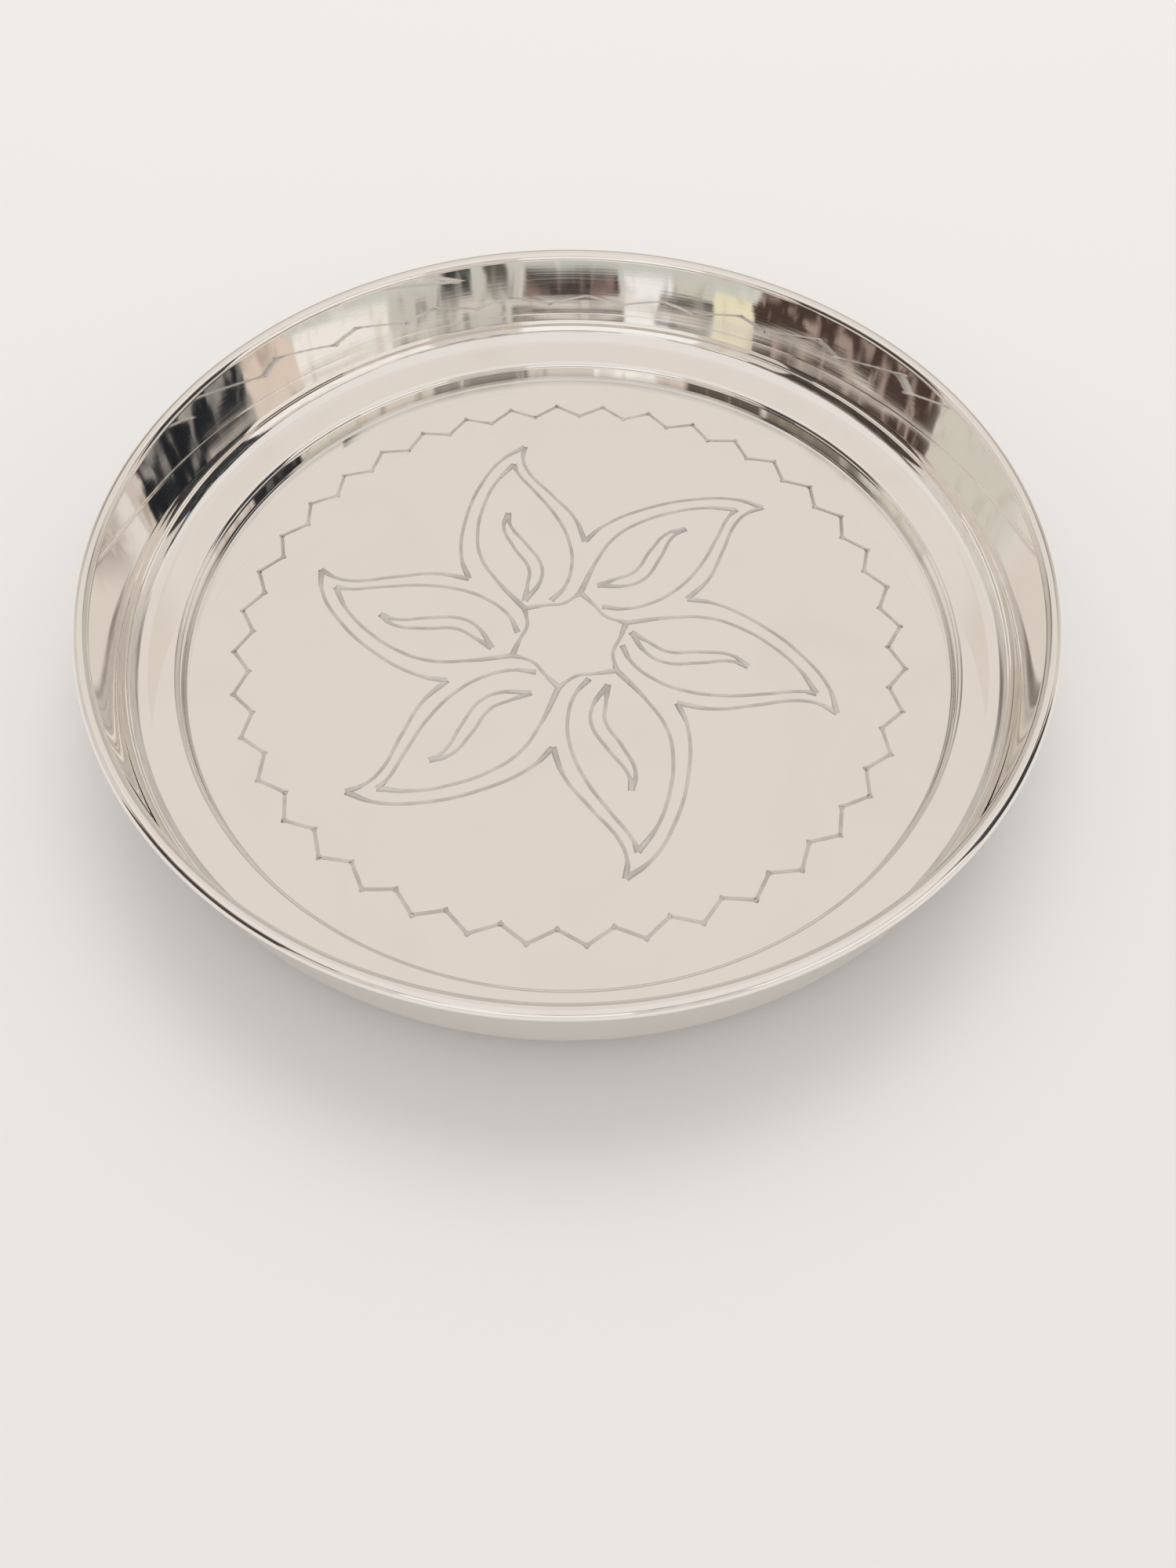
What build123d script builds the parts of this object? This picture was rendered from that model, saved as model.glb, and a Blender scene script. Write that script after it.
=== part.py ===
"""Puja thali: a spun metal dish with an engraved well and a wired, rolled rim.

Millimetres and degrees. The origin is the middle of the underside, +Z is up, and the
flower is turned as it is seen by someone who looks along +Y.
"""

import os
from math import cos, degrees, radians, sin, tan

from build123d import *

# Dish
rim_diameter = 230.0
overall_height = 33.0
sheet = 0.8
wall_flare = 2.0
wall_bend = 6.0
ledge_width = 12.5
step_height = 5.5
step_lean = 1.0
step_bend = 1.4

# Rolled rim and the wire inside it
wire_diameter = 1.8
wire_clearance = 0.15
wire_end_gap = 0.6
curl_turn = 292.0

# Engraving
groove_width = 0.8
groove_depth = 0.25
tool_mark_diameter = 1.1
zigzag_teeth = 40
zigzag_height = 4.0
zigzag_margin = 12.3
zigzag_turn = 3.5
flower_gap = 11.5
flower_turn = -78.5

# How far the small leaf in each petal is shifted, along and across the petal.
leaf_shifts = [(0.0, 0.0), (-1.8, 0.5), (1.1, 2.0), (-1.5, 2.5), (1.8, 2.6), (2.3, -0.2)]

# One petal's lines, as points along and across it. The tip is at (1, 0), the middle of the well at (0, 0).
outer_left = [(0.454, -0.144), (0.58, -0.127), (0.72, -0.061), (0.86, 0.009), (0.93, 0.018), (1.0, 0.0)]
outer_right = [(1.0, 0.0), (0.95, 0.096), (0.843, 0.193), (0.651, 0.292), (0.455, 0.335), (0.353, 0.322)]
inner_left = [(0.19, 0.036), (0.245, -0.025), (0.347, -0.072), (0.46, -0.084), (0.607, -0.057),
              (0.752, 0.003), (0.866, 0.053), (0.912, 0.059)]
inner_right = [(0.912, 0.059), (0.826, 0.145), (0.706, 0.214), (0.58, 0.255), (0.454, 0.262),
               (0.323, 0.219), (0.172, 0.14)]
petal_base = [(0.207, -0.079), (0.188, -0.048), (0.169, -0.006), (0.172, 0.06), (0.172, 0.14)]
leaf_left = [(0.228, 0.097), (0.315, 0.022), (0.388, 0.006), (0.498, 0.042), (0.617, 0.091), (0.676, 0.087)]
leaf_right = [(0.228, 0.097), (0.3, 0.075), (0.38, 0.056), (0.496, 0.094), (0.609, 0.116), (0.676, 0.087)]

# The rolled rim turns round the wire, and the rest is set out inwards and downwards from it,
# all to the middle of the sheet.
half_sheet = sheet / 2
curl_radius = wire_diameter / 2 + wire_clearance + half_sheet
curl_centre_radius = rim_diameter / 2 - half_sheet - curl_radius
curl_centre_height = overall_height - half_sheet - curl_radius
ledge_height = half_sheet + step_height
flare = radians(wall_flare)
wall_top_radius = curl_centre_radius - curl_radius * cos(flare)
wall_top_height = curl_centre_height + curl_radius * sin(flare)
wall_foot_radius = wall_top_radius - (wall_top_height - ledge_height) * tan(flare)
ledge_edge_radius = wall_foot_radius - ledge_width
well_radius = ledge_edge_radius - step_height * tan(radians(step_lean))
zigzag_outer_radius = well_radius - zigzag_margin
zigzag_inner_radius = zigzag_outer_radius - zigzag_height
flower_radius = zigzag_inner_radius - flower_gap
petal_count = len(leaf_shifts)


def on_petal(points):
    """Points along and across a petal, at the flower's size."""
    return [(along * flower_radius, across * flower_radius) for along, across in points]


def engraved_lines(strokes):
    """Each stroke as a band one groove wide, with a round tool mark at both of its ends."""
    for stroke in strokes:
        points = on_petal(stroke)
        with BuildLine() as path:
            Spline(*points)
        trace(path.line, line_width=groove_width)
        with Locations(points[0], points[-1]):
            Circle(tool_mark_diameter / 2)


def ring_points(radius, turn):
    """The zigzag's corners on one of its two circles."""
    return [place.position for place in PolarLocations(radius, zigzag_teeth, turn).local_locations]


# One petal's outlines, along +X
with BuildSketch() as petal:
    engraved_lines([outer_left, outer_right, inner_left, inner_right, petal_base])

# The small leaf inside a petal
with BuildSketch() as leaf:
    engraved_lines([leaf_left, leaf_right])

# The zigzag as one closed outline through the middle of its groove
with BuildSketch() as zigzag:
    with BuildLine():
        outer_points = ring_points(zigzag_outer_radius, zigzag_turn)
        inner_points = ring_points(zigzag_inner_radius, zigzag_turn + 180 / zigzag_teeth)
        Polyline(*[corner for tooth in zip(outer_points, inner_points) for corner in tooth], close=True)
    make_face()

# The spun sheet: its middle line runs from the middle of the well to the end of the roll
with BuildPart() as dish:
    with BuildSketch(Plane.XZ):
        with BuildLine():
            wall_line = FilletPolyline(
                (0, half_sheet),
                (well_radius, half_sheet),
                (ledge_edge_radius, ledge_height),
                (wall_foot_radius, ledge_height),
                (wall_top_radius, wall_top_height),
                radius=(step_bend, step_bend, wall_bend),
            )
            JernArc(wall_line @ 1, wall_line % 1, curl_radius, -curl_turn)
        trace(line_width=sheet)
    revolve(axis=Axis.Z)
    with BuildSketch(Plane.XY.offset(sheet)):
        offset(zigzag.sketch, amount=groove_width / 2, kind=Kind.INTERSECTION, mode=Mode.ADD)
        offset(zigzag.sketch, amount=-groove_width / 2, kind=Kind.INTERSECTION, mode=Mode.SUBTRACT)
        petals = PolarLocations(0, petal_count, flower_turn)
        for place, (along, across) in zip(petals.local_locations, leaf_shifts):
            with Locations(place):
                add(petal.sketch)
            with Locations(place * Location((along, across))):
                add(leaf.sketch)
    extrude(amount=-groove_depth, mode=Mode.SUBTRACT)

# The stiffening wire, bent round from +X until its ends almost meet
with BuildPart() as rim_wire:
    with BuildSketch(Plane.XZ):
        with Locations((curl_centre_radius, curl_centre_height)):
            Circle(wire_diameter / 2)
    revolve(axis=Axis.Z, revolution_arc=360 - degrees(wire_end_gap / curl_centre_radius))

dish.part.label = "dish"
rim_wire.part.label = "rim_wire"

os.makedirs("parts", exist_ok=True)
export_step(dish.part, "parts/dish.step")
export_step(rim_wire.part, "parts/rim_wire.step")

print(f"well {2 * well_radius:.1f} mm across, flower {2 * flower_radius:.1f} mm across")
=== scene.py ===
# %% [markdown]
# A puja thali is a round metal plate that carries the lamp, flowers and sweets of an offering.
# This one is a single sheet of metal, spun on a lathe: a flat engraved well, a short step up to a
# ledge, an upright wall, and a rim that is rolled outwards round a wire. The whole sheet is polished
# to a mirror. The measured model comes first, as a fixed frame: everything below is in metres, stands
# in the same place and rides on it.

# %% Load the frame
from math import cos, pi, radians, sin, tan

import bpy
from mathutils import Matrix, Vector


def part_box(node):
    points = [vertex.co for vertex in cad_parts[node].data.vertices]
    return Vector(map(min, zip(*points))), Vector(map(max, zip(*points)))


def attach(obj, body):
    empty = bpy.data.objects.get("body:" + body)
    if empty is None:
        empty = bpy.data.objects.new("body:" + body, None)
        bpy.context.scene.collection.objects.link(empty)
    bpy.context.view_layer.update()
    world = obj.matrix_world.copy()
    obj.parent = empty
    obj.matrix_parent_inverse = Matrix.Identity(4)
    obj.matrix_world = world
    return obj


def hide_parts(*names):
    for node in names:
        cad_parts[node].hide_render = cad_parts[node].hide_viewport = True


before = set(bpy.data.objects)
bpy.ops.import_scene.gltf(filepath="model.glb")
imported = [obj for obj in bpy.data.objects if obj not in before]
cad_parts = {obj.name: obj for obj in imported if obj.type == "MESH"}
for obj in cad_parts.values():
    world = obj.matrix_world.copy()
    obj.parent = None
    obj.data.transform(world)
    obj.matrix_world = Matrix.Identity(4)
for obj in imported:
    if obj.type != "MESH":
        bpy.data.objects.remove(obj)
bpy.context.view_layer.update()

dish_low, dish_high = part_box("dish")
rim_radius = (dish_high.x - dish_low.x) / 2
rim_height = dish_high.z
mm = 0.001
print(f"rim {2 * rim_radius / mm:.1f} mm across, {rim_height / mm:.1f} mm high")

# %% [markdown]
# Every operator works on what is selected, and the loaded frame arrives selected. So each step starts
# from nothing selected, and then picks the points it needs by their place.

# %% Selecting and editing
def deselect():
    """Leaves edit mode and selects nothing."""
    if bpy.context.object and bpy.context.object.mode != "OBJECT":
        bpy.ops.object.mode_set(mode="OBJECT")
    bpy.ops.object.select_all(action="DESELECT")


def take(piece):
    """Makes one object the only selected and active one."""
    deselect()
    piece.select_set(True)
    bpy.context.view_layer.objects.active = piece


def edit(piece):
    """Opens a piece in edit mode, all of it selected."""
    take(piece)
    bpy.ops.object.mode_set(mode="EDIT")
    bpy.ops.mesh.select_mode(type="VERT")
    bpy.ops.mesh.select_all(action="SELECT")


def pick(piece, wanted):
    """In edit mode, selects the vertices whose place satisfies wanted."""
    bpy.ops.mesh.select_all(action="DESELECT")
    bpy.ops.object.mode_set(mode="OBJECT")
    for vertex in piece.data.vertices:
        vertex.select = bool(wanted(vertex.co))
    bpy.ops.object.mode_set(mode="EDIT")


# %% [markdown]
# A spun dish is easiest to draw as the lathe makes it: one line of the sheet, from the flat of the
# well out to the rim, turned round the axis. The line is straight runs and round bends, as a strip of
# metal would be folded. A run is an extruded point, and a bend is a point spun about the bend's centre,
# so each bend is a true arc. The line follows the middle of the sheet, which gets its thickness later.

# %% Sizes of the sheet
sheet = 0.8 * mm
wall_flare = radians(2)
wall_bend = 6 * mm
ledge_width = 12.5 * mm
step_height = 5.5 * mm
step_lean = radians(1)
step_bend = 1.4 * mm
curl_radius = 1.45 * mm
curl_turn = radians(292)

half_sheet = sheet / 2
curl_centre_radius = rim_radius - half_sheet - curl_radius
curl_centre_height = rim_height - half_sheet - curl_radius
ledge_height = half_sheet + step_height
wall_top_radius = curl_centre_radius - curl_radius * cos(wall_flare)
wall_top_height = curl_centre_height + curl_radius * sin(wall_flare)
wall_foot_radius = wall_top_radius - (wall_top_height - ledge_height) * tan(wall_flare)
well_radius = wall_foot_radius - ledge_width - step_height * tan(step_lean)
step_turn = radians(90) - step_lean
wall_turn = radians(90) - wall_flare
step_trim = step_bend * tan(step_turn / 2)
wall_trim = wall_bend * tan(wall_turn / 2)
well_flat_radius = well_radius - step_trim
print(f"well {2 * well_radius / mm:.1f} mm across, ledge at {ledge_height / mm:.1f} mm")

# %% Draw the line of the sheet
class SheetLine:
    """A line in the XZ plane that grows from its last point by straight runs and round bends."""

    def __init__(self, name, radius, height):
        deselect()
        bpy.ops.mesh.primitive_plane_add(size=mm, location=(radius, 0, height))
        bpy.ops.object.transform_apply()
        self.piece = bpy.context.object
        self.piece.name = name
        edit(self.piece)
        bpy.ops.mesh.merge(type="CENTER")
        self.place = Vector((radius, 0, height))
        self.heading = 0.0

    def run(self, length):
        """Straight on."""
        ahead = Vector((cos(self.heading), 0, sin(self.heading))) * length
        bpy.ops.mesh.extrude_vertices_move(TRANSFORM_OT_translate={"value": ahead})
        self.place = self.place + ahead

    def bend(self, radius, turn, steps):
        """A round bend: a positive turn is upwards, a negative one outwards and down."""
        side = 1 if turn > 0 else -1
        centre = self.place + side * radius * Vector((-sin(self.heading), 0, cos(self.heading)))
        bpy.ops.mesh.spin(steps=steps, angle=abs(turn), center=centre, axis=(0, side, 0))
        self.heading += turn
        self.place = centre - side * radius * Vector((-sin(self.heading), 0, cos(self.heading)))


plate_margin = 3 * mm
plate_radius = well_flat_radius - plate_margin
step_bend_steps = 12
wall_bend_steps = 20
curl_steps = 32

line = SheetLine("dish_body", plate_radius, half_sheet)
line.run(well_flat_radius - plate_radius)
line.bend(step_bend, step_turn, step_bend_steps)
line.run(step_height / cos(step_lean) - 2 * step_trim)
line.bend(step_bend, -step_turn, step_bend_steps)
line.run(ledge_width - step_trim - wall_trim)
line.bend(wall_bend, wall_turn, wall_bend_steps)
line.run((wall_top_height - ledge_height) / cos(wall_flare) - wall_trim)
line.bend(curl_radius, -curl_turn, curl_steps)
dish = line.piece
bpy.ops.object.mode_set(mode="OBJECT")
print(len(dish.data.vertices), "points in the line, which ends at", [round(c / mm, 1) for c in line.place])

# %% [markdown]
# Turning the line once round the axis makes the sheet, apart from the plate in the middle. The start and
# end of the turn lie on each other and are merged. Solidify then gives the sheet its thickness, half of
# it on each side of the middle line, and closes both edges. The inner edge is opened again, because the
# floor of the well joins there.

# %% Spin the sheet
turn_steps = 288
merge_distance = 0.001 * mm
seam_width = 0.01 * mm
upright_tilt = 0.01


def pick_faces(piece, wanted):
    """In edit mode, selects the faces whose middle and normal satisfy wanted."""
    bpy.ops.mesh.select_mode(type="FACE")
    bpy.ops.mesh.select_all(action="DESELECT")
    bpy.ops.object.mode_set(mode="OBJECT")
    for face in piece.data.polygons:
        face.select = bool(wanted(face.center, face.normal))
    bpy.ops.object.mode_set(mode="EDIT")


def on_plate_edge(middle, normal):
    """Is this a face that stands upright where the plate meets the rest of the sheet?"""
    return abs(normal.z) < upright_tilt and abs(middle.xy.length - plate_radius) < seam_width


edit(dish)
bpy.ops.mesh.spin(steps=turn_steps, angle=2 * pi, center=(0, 0, 0), axis=(0, 0, 1))
bpy.ops.mesh.select_all(action="SELECT")
bpy.ops.mesh.remove_doubles(threshold=merge_distance)
bpy.ops.mesh.normals_make_consistent(inside=False)
deselect()

thickness = dish.modifiers.new("sheet thickness", "SOLIDIFY")
thickness.thickness = sheet
thickness.offset = 0
thickness.use_even_offset = True
thickness.use_quality_normals = True
take(dish)
bpy.ops.object.modifier_apply(modifier=thickness.name)
edit(dish)
pick_faces(dish, on_plate_edge)
bpy.ops.mesh.delete(type="FACE")
deselect()
print(len(dish.data.polygons), "faces in the spun sheet")

# %% [markdown]
# The engraving is six swirling petals, each with a double outline and a small curled leaf, inside a ring
# of zigzag. It could be painted on as bump, but a cut line catches the light along its two sides, so it
# is cut into the metal here. Each stroke is a curve through a few points, with a round section whose
# lower part reaches into the floor, as a round graver would, and a little deeper at both of its ends,
# where the tool is pushed in and lifted out. Points are given along and across one petal, with its tip
# at (1, 0), and each petal is a turned copy. The leaves were set by hand, so each is shifted a little.

# %% Sizes of the engraving
groove_width = 1.05 * mm
groove_depth = 0.12 * mm
end_pressure = 1.15
zigzag_teeth = 40
zigzag_height = 4 * mm
zigzag_margin = 12.3 * mm
zigzag_turn = radians(3.5)
flower_gap = 11.5 * mm
flower_turn = radians(-78.5)
leaf_shifts = [(0.0, 0.0), (-1.8, 0.5), (1.1, 2.0), (-1.5, 2.5), (1.8, 2.6), (2.3, -0.2)]

zigzag_outer_radius = well_radius - zigzag_margin
zigzag_inner_radius = zigzag_outer_radius - zigzag_height
flower_radius = zigzag_inner_radius - flower_gap
graver_radius = (groove_width ** 2 / 4 + groove_depth ** 2) / (2 * groove_depth)
graver_height = sheet + graver_radius - groove_depth

outer_left = [(0.454, -0.144), (0.58, -0.127), (0.72, -0.061), (0.86, 0.009), (0.93, 0.018), (1.0, 0.0)]
outer_right = [(1.0, 0.0), (0.95, 0.096), (0.843, 0.193), (0.651, 0.292), (0.455, 0.335), (0.353, 0.322)]
inner_left = [(0.19, 0.036), (0.245, -0.025), (0.347, -0.072), (0.46, -0.084), (0.607, -0.057),
              (0.752, 0.003), (0.866, 0.053), (0.912, 0.059)]
inner_right = [(0.912, 0.059), (0.826, 0.145), (0.706, 0.214), (0.58, 0.255), (0.454, 0.262),
               (0.323, 0.219), (0.172, 0.14)]
petal_base = [(0.207, -0.079), (0.188, -0.048), (0.169, -0.006), (0.172, 0.06), (0.172, 0.14)]
leaf_left = [(0.228, 0.097), (0.315, 0.022), (0.388, 0.006), (0.498, 0.042), (0.617, 0.091), (0.676, 0.087)]
leaf_right = [(0.228, 0.097), (0.3, 0.075), (0.38, 0.056), (0.496, 0.094), (0.609, 0.116), (0.676, 0.087)]
print(f"flower {2 * flower_radius / mm:.1f} mm across, graver {2 * graver_radius / mm:.2f} mm thick")

# %% Lay out the strokes
def petal_strokes(turn, shift):
    """One petal's strokes, turned into place on the well. The leaf's two strokes are shifted in the petal."""
    strokes = []
    for points in (outer_left, outer_right, inner_left, inner_right, petal_base, leaf_left, leaf_right):
        moved = Vector(shift) * mm if points in (leaf_left, leaf_right) else Vector((0, 0))
        placed = [Vector(point) * flower_radius + moved for point in points]
        strokes.append([Matrix.Rotation(turn, 2) @ point for point in placed])
    return strokes


petal_turn = 2 * pi / len(leaf_shifts)
flower = []
for number, leaf_shift in enumerate(leaf_shifts):
    flower += petal_strokes(flower_turn + number * petal_turn, leaf_shift)

corners = []
for number in range(2 * zigzag_teeth):
    radius = zigzag_inner_radius if number % 2 else zigzag_outer_radius
    angle = zigzag_turn + number * pi / zigzag_teeth
    corners.append(Vector((radius * cos(angle), radius * sin(angle))))
overshoot = 0.05
pressed = 0.1
stroke_parts = (-overshoot, pressed, 1 - pressed, 1 + overshoot)
zigzag = []
for corner, following in zip(corners, corners[1:] + corners[:1]):
    zigzag.append([corner.lerp(following, part) for part in stroke_parts])
print(len(flower), "strokes in the flower,", len(corners), "corners in the zigzag")

# %% Make the graver's path
def add_stroke(path, stroke, kind):
    """Adds a stroke to a curve, at the height at which the tool cuts: bent for BEZIER, straight for POLY."""
    spline = path.splines.new(kind)
    points = spline.bezier_points if kind == "BEZIER" else spline.points
    points.add(len(stroke) - 1)
    for point, place in zip(points, stroke):
        point.co = (*place, graver_height, 1)[:len(point.co)]
        if kind == "BEZIER":
            point.handle_left_type = "AUTO"
            point.handle_right_type = "AUTO"
    points[0].radius = end_pressure
    points[-1].radius = end_pressure


graver_facets = 7
steps_between_points = 10
path = bpy.data.curves.new("graver_path", "CURVE")
path.dimensions = "3D"
path.bevel_depth = graver_radius
path.bevel_resolution = graver_facets
path.resolution_u = steps_between_points
path.use_fill_caps = True
for stroke in flower:
    add_stroke(path, stroke, "BEZIER")
for stroke in zigzag:
    add_stroke(path, stroke, "POLY")
graver = bpy.data.objects.new("graver_path", path)
bpy.context.scene.collection.objects.link(graver)
take(graver)
bpy.ops.object.convert(target="MESH")
print(len(graver.data.polygons), "faces on the graver's path")

# %% [markdown]
# The plate is a disc as thick as the sheet. Cutting it by itself, before it joins the rest, keeps the
# Boolean small and quick. The faces that the cut leaves take the graver's material, so that the
# grooves can have their own, duller finish.

# %% Engrave the floor of the well
def cut(piece, tool):
    """Takes a tool's shape out of a piece, and removes the tool."""
    groove = piece.modifiers.new("engrave", "BOOLEAN")
    groove.operation = "DIFFERENCE"
    groove.object = tool
    groove.solver = "EXACT"
    groove.use_self = True
    groove.material_mode = "TRANSFER"
    take(piece)
    bpy.ops.object.modifier_apply(modifier=groove.name)
    bpy.data.objects.remove(tool)


silver = bpy.data.materials.new("mirror_silver")
engraved = bpy.data.materials.new("engraved_line")
deselect()
bpy.ops.mesh.primitive_cylinder_add(
    vertices=turn_steps,
    radius=plate_radius,
    depth=sheet,
    location=(0, 0, half_sheet),
)
bpy.ops.object.transform_apply()
plate = bpy.context.object
plate.name = "well_plate"
for piece, finish in ((dish, silver), (plate, silver), (graver, engraved)):
    piece.data.materials.append(finish)
cut(plate, graver)
edit(plate)
pick_faces(plate, on_plate_edge)
bpy.ops.mesh.delete(type="FACE")
deselect()
print(len(plate.data.polygons), "faces in the engraved plate")

# %% [markdown]
# The plate and the spun sheet now meet point for point, so joining them is merging the points of that
# seam. The cut leaves a few slivers, which are dissolved, and any hole that this opens is filled. The
# count of open edges shows that the sheet is closed again.

# %% Join the plate and the spun sheet
sliver_length = 0.0005 * mm
plate.select_set(True)
dish.select_set(True)
bpy.context.view_layer.objects.active = dish
bpy.ops.object.join()
edit(dish)
pick(dish, lambda place: abs(place.xy.length - plate_radius) < seam_width)
bpy.ops.mesh.remove_doubles(threshold=seam_width)
bpy.ops.mesh.select_all(action="SELECT")
bpy.ops.mesh.dissolve_degenerate(threshold=sliver_length)
bpy.ops.mesh.select_all(action="DESELECT")
bpy.ops.mesh.select_non_manifold()
bpy.ops.mesh.fill_holes(sides=0)
bpy.ops.mesh.select_all(action="DESELECT")
bpy.ops.mesh.select_non_manifold()
bpy.ops.object.mode_set(mode="OBJECT")
loose = sum(edge.select for edge in dish.data.edges)
print(len(dish.data.polygons), "faces in the dish, open edges:", loose)

# %% [markdown]
# The mesh is smooth where the metal was spun and sharp along the edges of the grooves. Weighted normals
# keep the flat parts flat right up to the bends, which matters on a mirror: without them the edge of the
# well would reflect like a shallow bowl.

# %% Smooth the sheet
groove_edge_angle = radians(25)
take(dish)
bpy.ops.object.shade_smooth_by_angle(angle=groove_edge_angle)
weighted = dish.modifiers.new("flat stays flat", "WEIGHTED_NORMAL")
weighted.mode = "FACE_AREA"
weighted.weight = 100
weighted.keep_sharp = True
bpy.ops.object.modifier_apply(modifier=weighted.name)
triangles = sum(len(face.vertices) - 2 for face in dish.data.polygons)
print(triangles, "triangles in the dish")

# %% [markdown]
# Inside the roll lies a wire, which keeps the edge stiff and round. Only a sliver of it shows, from below,
# where the roll stops short of the wall. It is a circle, spun almost all the way round, and closed at
# both of its ends.

# %% Bend the wire
wire_diameter = 1.8 * mm
wire_end_gap = 0.6 * mm
wire_turn = 2 * pi - wire_end_gap / curl_centre_radius
wire_sides = 20
wire_edge_angle = radians(40)

deselect()
bpy.ops.mesh.primitive_circle_add(
    vertices=wire_sides,
    radius=wire_diameter / 2,
    fill_type="NGON",
    location=(curl_centre_radius, 0, curl_centre_height),
    rotation=(radians(90), 0, 0),
)
bpy.ops.object.transform_apply()
wire = bpy.context.object
wire.name = "rim_wire_bent"
edit(wire)
bpy.ops.mesh.spin(steps=turn_steps, angle=wire_turn, center=(0, 0, 0), axis=(0, 0, 1))
bpy.ops.mesh.select_all(action="SELECT")
bpy.ops.mesh.normals_make_consistent(inside=False)
bpy.ops.mesh.select_all(action="DESELECT")
bpy.ops.mesh.select_non_manifold()
bpy.ops.object.mode_set(mode="OBJECT")
loose = sum(edge.select for edge in wire.data.edges)
take(wire)
bpy.ops.object.shade_smooth_by_angle(angle=wire_edge_angle)
print(len(wire.data.polygons), "faces in the wire, open edges:", loose)

# %% [markdown]
# Finishes are built from nodes. Written out one by one they are hard to read, so a small class wraps a
# node's output: adding, subtracting, multiplying and so on make the Math nodes, and any other node comes
# from one method.

# %% Write shader maths as sums
class Value:
    """An output of a node. Arithmetic on it adds Math nodes to its tree."""

    def __init__(self, tree, socket=None):
        self.tree = tree
        self.socket = socket

    def node(self, kind, settings=None, output=0, **sockets):
        """Adds a node, with its settings first and then its sockets, and gives one of its outputs."""
        made = self.tree.nodes.new(kind)
        for name, setting in (settings or {}).items():
            setattr(made, name, setting)
        for name, content in sockets.items():
            key = int(name[1:]) if name[0] == "_" else name.replace("_", " ")
            self.feed(made.inputs[key], content)
        return Value(self.tree, made.outputs[output])

    def feed(self, socket, content):
        """Links a value to a socket, or sets a number there."""
        if isinstance(content, Value):
            self.tree.links.new(content.socket, socket)
        else:
            socket.default_value = content

    def math(self, operation, *terms):
        """One Math node."""
        numbered = {f"_{number}": term for number, term in enumerate(terms)}
        return self.node("ShaderNodeMath", {"operation": operation}, **numbered)

    def __add__(self, other):
        return self.math("ADD", self, other)

    def __sub__(self, other):
        return self.math("SUBTRACT", self, other)

    def __rsub__(self, other):
        return self.math("SUBTRACT", other, self)

    def __mul__(self, other):
        return self.math("MULTIPLY", self, other)

    __radd__ = __add__
    __rmul__ = __mul__

    def axes(self):
        """A vector's three parts."""
        return [self.node("ShaderNodeSeparateXYZ", output=axis, Vector=self) for axis in "XYZ"]

    def between(self, low, high):
        """Rises smoothly from 0 at low to 1 at high, and the other way round if low is above high."""
        settings = {"interpolation_type": "SMOOTHSTEP"}
        if low < high:
            return self.node("ShaderNodeMapRange", settings, Value=self, From_Min=low, From_Max=high)
        return 1 - self.node("ShaderNodeMapRange", settings, Value=self, From_Min=high, From_Max=low)

    def blend(self, first, second):
        """Mixes two colours, with this value as the share of the second."""
        first, second = [(*colour, 1) if isinstance(colour, tuple) else colour for colour in (first, second)]
        return self.node("ShaderNodeMix", {"data_type": "RGBA"}, output=2, _0=self, _6=first, _7=second)


def shader_of(material):
    """Gives a material's tree and its main shader."""
    material.use_nodes = True
    tree = material.node_tree
    return Value(tree), tree.nodes["Principled BSDF"].inputs


print("shader sums ready")

# %% [markdown]
# The metal is silver-coloured and buffed on the lathe until it is a mirror. A mirror has almost no colour
# of its own, so what tells it from chrome is small: a faint warm tint, partly the silver's own and partly
# a painted reflection of the warm ceiling, fine rings left by the buff, and soft smears from being handled.
# A darker line along the foot of the step is painted shade. The rings follow the radius, so they are noise
# on polar coordinates made from Object coordinates.

# %% Polished silver
nodes, shader = shader_of(silver)
place = nodes.node("ShaderNodeTexCoord", output="Object")
x, y, height = place.axes()
radius = place.math("SQRT", x * x + y * y)

ring_place = place.node("ShaderNodeCombineXYZ", X=radius, Y=height)
rings = place.node("ShaderNodeTexNoise", output="Fac", Vector=ring_place, Scale=1600.0, Detail=2.0)
smears = place.node("ShaderNodeTexNoise", output="Fac", Vector=place, Scale=28.0, Detail=4.0, Distortion=1.2)
dents = place.node("ShaderNodeTexNoise", output="Fac", Vector=place, Scale=45.0, Detail=0.0)

# Painted shade: a ring at the foot of the step, where the well meets the riser, is darkened and mottled by
# the smears.
corner_inside = radius.between(well_radius - 1.4 * mm, well_radius - 0.5 * mm)
corner_outside = radius.between(well_radius + 1.0 * mm, well_radius + 0.4 * mm)
corner_below = height.between(4 * mm, 1.5 * mm)
in_corner = corner_inside * corner_below * corner_outside
painted_corner_shade = in_corner * (0.55 + smears.between(0.35, 0.7) * 0.45)

# The warmth of this colour is partly the silver's own and partly a painted reflection of the warm ceiling.
silver_with_ceiling_tint = (0.94, 0.915, 0.88)
smeared_and_shaded_silver = (0.25, 0.225, 0.2)
# The smears are real handling marks, and the corner share is painted shade.
smears_and_corner_shade = smears.between(0.45, 0.9) * 0.05 + painted_corner_shade * 0.45
place.feed(shader["Base Color"], smears_and_corner_shade.blend(silver_with_ceiling_tint, smeared_and_shaded_silver))
place.feed(shader["Roughness"], 0.02 + smears.between(0.4, 0.85) * 0.04 + rings.between(0.4, 0.8) * 0.02)
shader["Metallic"].default_value = 1.0
ring_height = 0.0008 * mm
dent_height = 0.05 * mm
relief = rings * ring_height + dents * dent_height
place.feed(shader["Normal"], place.node("ShaderNodeBump", Strength=1.0, Distance=1.0, Height=relief))
print(len(silver.node_tree.nodes), "nodes in the silver")

# %% [markdown]
# A graver leaves a fine torn surface in its groove, which no buff reaches, and dark polish stays in it.
# So the grooves are the same metal, darker and much rougher.

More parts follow.
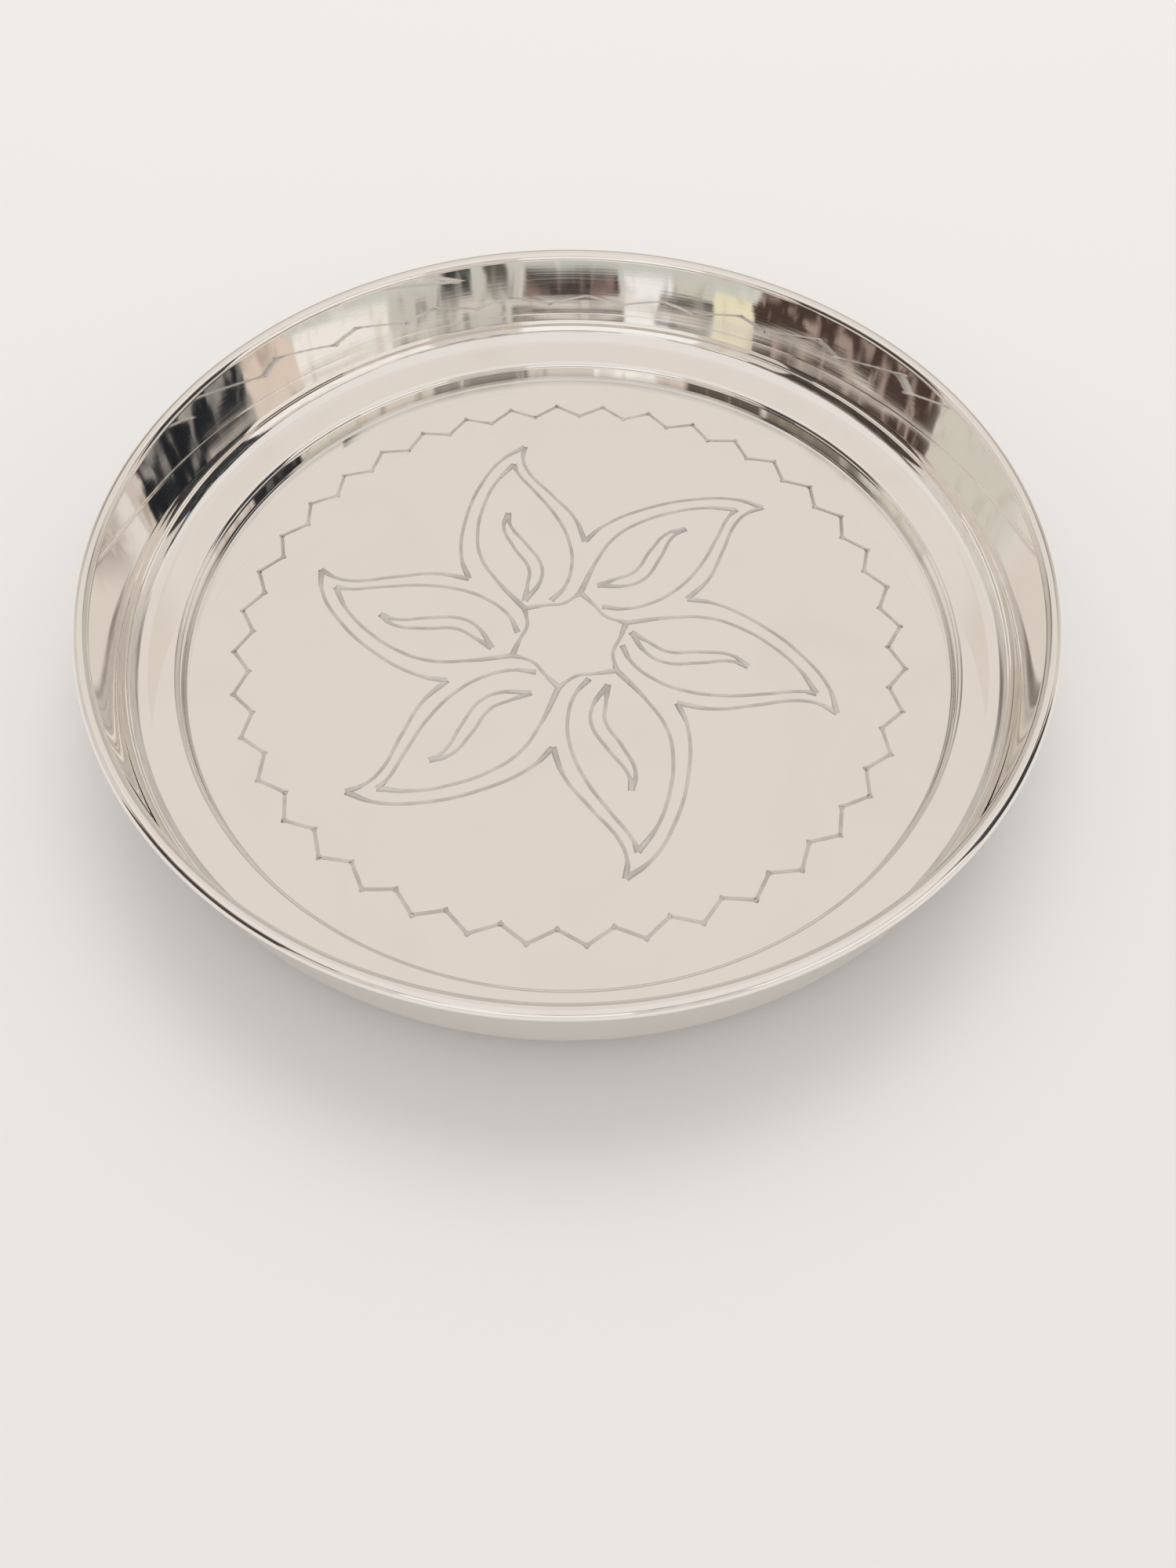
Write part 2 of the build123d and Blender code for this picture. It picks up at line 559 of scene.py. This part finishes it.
# %% Engraved lines
nodes, shader = shader_of(engraved)
place = nodes.node("ShaderNodeTexCoord", output="Object")
grain = place.node("ShaderNodeTexNoise", output="Fac", Vector=place, Scale=2400.0, Detail=2.0)
residue = place.node("ShaderNodeTexNoise", output="Fac", Vector=place, Scale=160.0, Detail=3.0)
bright_cut = (0.8, 0.78, 0.75)
dark_polish = (0.64, 0.62, 0.59)
place.feed(shader["Base Color"], residue.between(0.3, 0.7).blend(bright_cut, dark_polish))
place.feed(shader["Roughness"], 0.34 + grain * 0.2)
shader["Metallic"].default_value = 1.0
grain_height = 0.05 * mm
torn = place.node("ShaderNodeBump", Strength=0.5, Distance=1.0, Height=grain * grain_height)
place.feed(shader["Normal"], torn)
print(len(engraved.node_tree.nodes), "nodes in the engraved lines")

# %% [markdown]
# The wire is plain drawn steel: it was pulled through a die, which leaves fine lines along it.

# %% Drawn steel
steel = bpy.data.materials.new("drawn_steel")
nodes, shader = shader_of(steel)
place = nodes.node("ShaderNodeTexCoord", output="Object")
x, y, height = place.axes()
radius = place.math("SQRT", x * x + y * y)
line_place = place.node("ShaderNodeCombineXYZ", X=radius, Y=height)
lines = place.node("ShaderNodeTexNoise", output="Fac", Vector=line_place, Scale=9000.0, Detail=1.0)
stain = place.node("ShaderNodeTexNoise", output="Fac", Vector=place, Scale=220.0, Detail=3.0)
bare_steel = (0.5, 0.5, 0.49)
stained_steel = (0.31, 0.26, 0.2)
place.feed(shader["Base Color"], (stain.between(0.4, 0.75) * 0.6).blend(bare_steel, stained_steel))
place.feed(shader["Roughness"], 0.3 + lines * 0.25)
shader["Metallic"].default_value = 1.0
wire.data.materials.append(steel)
print(len(steel.node_tree.nodes), "nodes in the steel")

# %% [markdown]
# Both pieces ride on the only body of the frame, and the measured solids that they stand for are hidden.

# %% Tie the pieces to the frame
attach(dish, "root")
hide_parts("dish")
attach(wire, "root")
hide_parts("rim_wire")
print("pieces:", dish.name, wire.name)

# %% [markdown]
# The dish stands on a plain pale floor. The floor lies a hair below the underside, because two faces in
# the same place would flicker where they are seen from below.

# %% Floor
floor_size = 6
floor_gap = 0.1 * mm
deselect()
bpy.ops.mesh.primitive_plane_add(size=floor_size, location=(0, 0, -floor_gap))
bpy.ops.object.transform_apply()
floor = bpy.context.object
floor.name = "studio_floor"
pale = bpy.data.materials.new("pale_floor")
nodes, shader = shader_of(pale)
shader["Base Color"].default_value = (0.8, 0.78, 0.76, 1)
shader["Roughness"].default_value = 0.9
floor.data.materials.append(pale)
print("floor", tuple(round(size, 1) for size in floor.dimensions))

# %% [markdown]
# A mirror has no look of its own: it shows what stands round it. A photographer of silverware therefore
# builds the picture from outside, with a pale ceiling, white panels and dark flags, and moves them until
# the metal looks like metal. The flat well and the ledge only see the ceiling, so they stay calm, and the
# wall, the bends and the rim see the panels. Here all of it is painted on the world by direction: a turn
# in degrees from the camera's side, positive to the right, and a lift above the horizon. The lift is
# taken from a line that rises to both sides, because the wall of a round dish shows more height there.

# %% Colours of the surroundings
room_wall = (0.72, 0.66, 0.61)
room_wall_streaks = (0.5, 0.43, 0.38)
far_wall = (0.57, 0.53, 0.49)
far_wall_streaks = (0.36, 0.32, 0.29)
ceiling_behind = (0.77, 0.71, 0.66)
ceiling_before = (0.82, 0.78, 0.755)
panels = [
    # turn from, turn to, lift from, lift to, colour, colour of its streaks
    (82, 110, 3, 30, (0.03, 0.03, 0.032), (0.12, 0.12, 0.12)),
    (84, 104, 36.5, 40.6, (0.03, 0.03, 0.032), (0.12, 0.12, 0.12)),
    (34, 82, 8, 30, (0.97, 0.93, 0.88), (0.7, 0.64, 0.58)),
    (-30, 12, 6, 30, (0.97, 0.95, 0.93), (0.8, 0.78, 0.76)),
    (-90, -52, 3, 30, (0.05, 0.04, 0.035), (0.16, 0.13, 0.11)),
    (84, 123, 30, 36.5, (0.016, 0.018, 0.022), (0.34, 0.33, 0.32)),
    (70, 84, 30, 36.5, (0.77, 0.66, 0.58), (0.5, 0.42, 0.36)),
    (45, 70, 30, 36.5, (0.95, 0.93, 0.91), (0.8, 0.74, 0.68)),
    (13, 45, 30, 36.5, (0.62, 0.6, 0.57), (0.3, 0.29, 0.27)),
    (-13, 13, 30, 36.5, (0.7, 0.67, 0.65), (0.5, 0.46, 0.44)),
    (-11, 12, 32.3, 33.3, (0.05, 0.035, 0.033), (0.24, 0.17, 0.15)),
    (-14, 15, 33.85, 34.2, (0.12, 0.1, 0.095), (0.3, 0.26, 0.24)),
    (-24, -13, 30, 36.5, (0.98, 0.98, 1.0), (0.62, 0.62, 0.66)),
    (-35, -24, 30, 36.5, (0.66, 0.65, 0.58), (0.5, 0.49, 0.44)),
    (-35, -21, 33, 33.6, (0.07, 0.065, 0.06), (0.25, 0.24, 0.22)),
    (-34, -20, 33.95, 34.2, (0.14, 0.13, 0.12), (0.3, 0.28, 0.26)),
    (-45, -35, 30, 36.5, (0.88, 0.83, 0.62), (0.7, 0.64, 0.46)),
    (-98, -45, 30, 36.5, (0.07, 0.045, 0.038), (0.42, 0.33, 0.29)),
    (-45, 72, 30, 32.3, (0.6, 0.63, 0.6), (0.72, 0.73, 0.7)),
    (24, 31, 30.5, 32.9, (0.05, 0.05, 0.048), (0.3, 0.3, 0.28)),
    (15.5, 21, 30.5, 32.7, (0.12, 0.11, 0.1), (0.3, 0.28, 0.26)),
    (-100, 100, 33.5, 33.8, (0.74, 0.69, 0.64), (0.6, 0.55, 0.5)),
    (12, 40, 37.3, 40, (0.3, 0.28, 0.26), (0.85, 0.82, 0.78)),
    (-24, -6, 37.3, 40, (1.0, 0.98, 0.95), (0.8, 0.78, 0.75)),
    (-56, -33, 37.3, 40, (0.12, 0.1, 0.09), (0.4, 0.35, 0.3)),
    (-92, -58, 36.6, 39, (0.24, 0.2, 0.17), (0.5, 0.44, 0.4)),
    (54, 72, 41, 42.4, (0.07, 0.06, 0.05), (0.2, 0.17, 0.15)),
    (72, 90, 40.2, 41.4, (0.07, 0.06, 0.05), (0.2, 0.17, 0.15)),
    (-90, -58, 40.4, 42, (0.2, 0.17, 0.15), (0.3, 0.26, 0.23)),
]
shades = [
    # the same, with soft edges
    (136, 154, 26, 36.5, (0.3, 0.26, 0.23), (0.62, 0.55, 0.5)),
    (-134, -100, 28, 37, (0.68, 0.66, 0.6), (0.62, 0.6, 0.54)),
    (-151, -139, 16, 31, (0.2, 0.17, 0.15), (0.42, 0.38, 0.34)),
]
print(len(panels), "panels and", len(shades), "soft shades")

# %% [markdown]
# The world's colour starts from a direction, turned into the turn and the lift. Below the ceiling stands
# a wall with upright streaks, darker beyond the dish, where the ceiling also comes down lower.

# %% Walls and ceiling
lift_bow = 0.00048
lift_bow_end = 110
degree = 180 / pi

world = bpy.data.worlds.new("studio")
bpy.context.scene.world = world
world.use_nodes = True
tree = world.node_tree
room = Value(tree)
direction = room.node("ShaderNodeTexCoord", output="Generated")
side, depth, rise = direction.axes()
turn = room.math("ARCTAN2", side, 0 - depth) * degree
to_side = room.math("ABSOLUTE", turn)
bowed = room.math("MINIMUM", to_side, lift_bow_end)
lift = room.math("ARCSINE", rise) * degree - bowed * bowed * lift_bow

streaks_per_turn = 0.24
streaks_per_lift = 0.8
streak_place = room.node("ShaderNodeCombineXYZ", X=turn * streaks_per_turn, Y=lift * streaks_per_lift)
streaks = room.node(
    "ShaderNodeTexNoise",
    output="Fac",
    Vector=streak_place,
    Scale=1.0,
    Detail=2.0,
    Distortion=0.6,
)
streaked = streaks.between(0.5, 0.68)

ceiling_lift = 40.9
ceiling_soft = 0.6
far_ceiling_drop = 10.5
far_turns = (120, 134)
behind_turns = (128, 146)
overhead_lifts = (84, 72)
far_side = to_side.between(*far_turns)
far_lift = lift + far_side * far_ceiling_drop
ceiling_share = far_lift.between(ceiling_lift - ceiling_soft, ceiling_lift + ceiling_soft)
ceiling_turn = to_side.between(*behind_turns) * lift.between(*overhead_lifts)
ceiling = ceiling_turn.blend(ceiling_before, ceiling_behind)
near_colour = streaked.blend(room_wall, room_wall_streaks)
far_colour = streaked.blend(far_wall, far_wall_streaks)
seen = ceiling_share.blend(far_side.blend(near_colour, far_colour), ceiling)
print(len(tree.nodes), "nodes in the walls and the ceiling")

# %% [markdown]
# Each panel then covers what is behind it, between its turns and its lifts. A little noise makes the
# borders waver, as they do in hand-polished metal. Only reflections see all this. For the camera and for
# the light on the floor, the world is plain, pale and even.

# %% Panels
def span(value, low, high, soft):
    """1 between low and high, with soft edges."""
    return value.between(low - soft, low + soft) * value.between(high + soft, high - soft)


turn_wobble = 5.0
lift_wobble = 0.12
wobbles_per_turn = 0.2
wobbles_per_lift = 0.9
wobble_place = room.node("ShaderNodeCombineXYZ", X=turn * wobbles_per_turn, Y=lift * wobbles_per_lift, Z=4.0)
wobble = room.node("ShaderNodeTexNoise", output="Fac", Vector=wobble_place, Scale=1.0, Detail=2.0) - 0.5
wavy_turn = turn + wobble * turn_wobble
wavy_lift = lift + wobble * lift_wobble

panel_edges = (0.6, 0.08)
shade_edges = (5.0, 2.0)
for group, (turn_soft, lift_soft) in ((panels, panel_edges), (shades, shade_edges)):
    for turn_low, turn_high, lift_low, lift_high, colour, streak_colour in group:
        across = span(wavy_turn, turn_low, turn_high, turn_soft)
        upwards = span(wavy_lift, lift_low, lift_high, lift_soft)
        seen = (across * upwards).blend(seen, streaked.blend(colour, streak_colour))

pale_backdrop = (0.86, 0.85, 0.84)
is_reflection = room.node("ShaderNodeLightPath", output="Is Glossy Ray")
background = tree.nodes["Background"].inputs
room.feed(background["Color"], is_reflection.blend(pale_backdrop, seen))
background["Strength"].default_value = 1.0
print(len(tree.nodes), "nodes in the surroundings")

# %% [markdown]
# One large soft lamp hangs above, a little behind the dish, and draws the soft shadow under its near edge.
# Reflections don't see it, because the panels already stand for the light there.

# %% Lamp
lamp_place = (0.1, 0.9, 1.5)
lamp_width = 1.2
lamp_depth = 0.8
lamp_watts = 8
deselect()
bpy.ops.object.light_add(type="AREA", location=lamp_place)
lamp = bpy.context.object
lamp.data.shape = "RECTANGLE"
lamp.data.size = lamp_width
lamp.data.size_y = lamp_depth
lamp.data.energy = lamp_watts
lamp.rotation_euler = (Vector((0, 0, 0)) - lamp.location).to_track_quat("-Z", "Y").to_euler()
lamp.visible_glossy = False
print("lamp", lamp.data.energy, "W")

# %% [markdown]
# The picture was taken by hand from close by, from above the near edge. A lens this near shows the far
# side of the rim clearly smaller than the near one, so the camera's place and focal length were found
# together, from the rim, the ledge and the zigzag, until all three lay on the picture.

# %% Camera
camera_place = (0.00511, -0.19997, 0.25771)
camera_pitch = radians(31.309)
camera_roll = radians(0.63865)
picture_height = 36
focal_length = 28.8
deselect()
bpy.ops.object.camera_add(location=camera_place)
camera = bpy.context.object
turned = Matrix.Rotation(camera_pitch, 3, "X") @ Matrix.Rotation(camera_roll, 3, "Z")
camera.rotation_euler = turned.to_euler()
camera.data.sensor_fit = "VERTICAL"
camera.data.sensor_height = picture_height
camera.data.lens = focal_length
camera.data.clip_start = 0.01
scene = bpy.context.scene
scene.camera = camera
scene.view_settings.view_transform = "Standard"
print("camera at", [round(c / mm) for c in camera.location], "mm")
